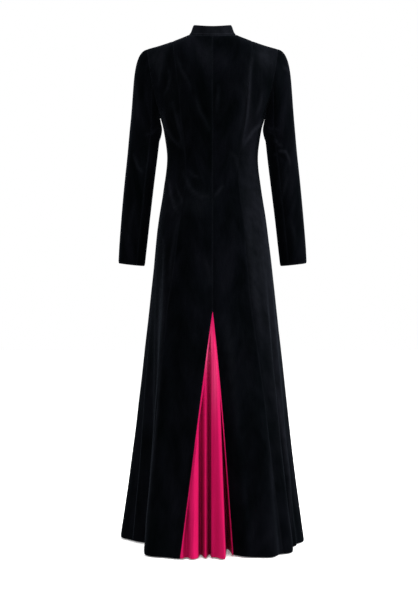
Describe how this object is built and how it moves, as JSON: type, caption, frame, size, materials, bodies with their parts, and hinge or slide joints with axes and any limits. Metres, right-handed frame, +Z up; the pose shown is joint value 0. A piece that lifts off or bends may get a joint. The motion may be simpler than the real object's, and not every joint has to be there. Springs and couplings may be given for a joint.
{
  "type": "coat",
  "caption": "Floor-length fitted coat of black velvet with a stand collar, long sleeves, princess seams and a bright flared godet in the centre-back vent.",
  "frame": {"origin": "middle of the neck, level with the points where the shoulder seams meet the collar, where the wearer's shoulders hold the coat up", "axes": "+Z up, -Y the way the wearer faces, +X the wearer's left"},
  "size_m": [0.5472, 0.5493, 1.4778],
  "materials": {
    "black_velvet": "short dense pile",
    "pink_crepe": "matt crepe"
  },
  "bodies": {
    "root": {"back_centre_left": "black_velvet", "back_centre_right": "black_velvet", "back_side_left": "black_velvet", "back_side_right": "black_velvet", "front_centre_left": "black_velvet", "front_centre_right": "black_velvet", "front_side_left": "black_velvet", "front_side_right": "black_velvet", "upper_sleeve_left": "black_velvet", "upper_sleeve_right": "black_velvet", "under_sleeve_left": "black_velvet", "under_sleeve_right": "black_velvet", "stand_collar": "black_velvet", "godet": "pink_crepe"}
  },
  "joints": []
}
